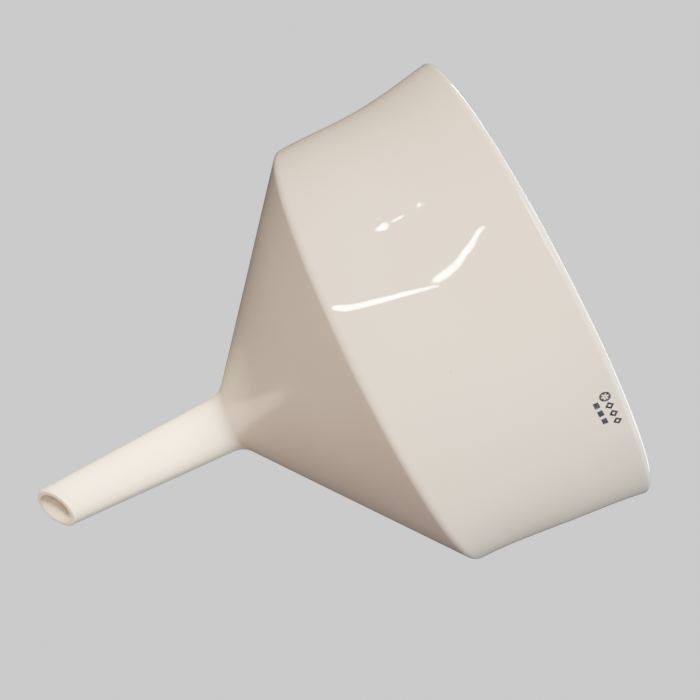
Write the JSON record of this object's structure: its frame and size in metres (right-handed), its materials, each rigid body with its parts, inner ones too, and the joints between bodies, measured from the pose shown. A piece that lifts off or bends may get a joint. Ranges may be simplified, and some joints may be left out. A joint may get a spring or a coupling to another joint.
{
  "type": "buchner funnel",
  "caption": "Glazed porcelain Buchner funnel: a flared cylindrical bowl over a fixed perforated plate, a cone and a tapered stem with a slanted outlet.",
  "frame": {"origin": "on the funnel's axis where the neck's collar ends and the stem's straight taper begins, the level at which a stopper holds it", "axes": "+Z along the funnel's axis towards the rim, -Y the side that the slanted outlet faces"},
  "size_m": [0.265, 0.265, 0.336],
  "materials": {
    "glazed_porcelain": "clear gloss glaze over warm white porcelain",
    "plate_porcelain": "thin gloss glaze, worn to satin where filters are scraped off",
    "underglaze_mark": "blue-black stamp fired under the glaze"
  },
  "bodies": {
    "root": {"bowl_wall": "glazed_porcelain", "plate_bead": "plate_porcelain", "perforated_plate": "plate_porcelain", "cone": "glazed_porcelain", "stem": "glazed_porcelain"}
  },
  "joints": []
}
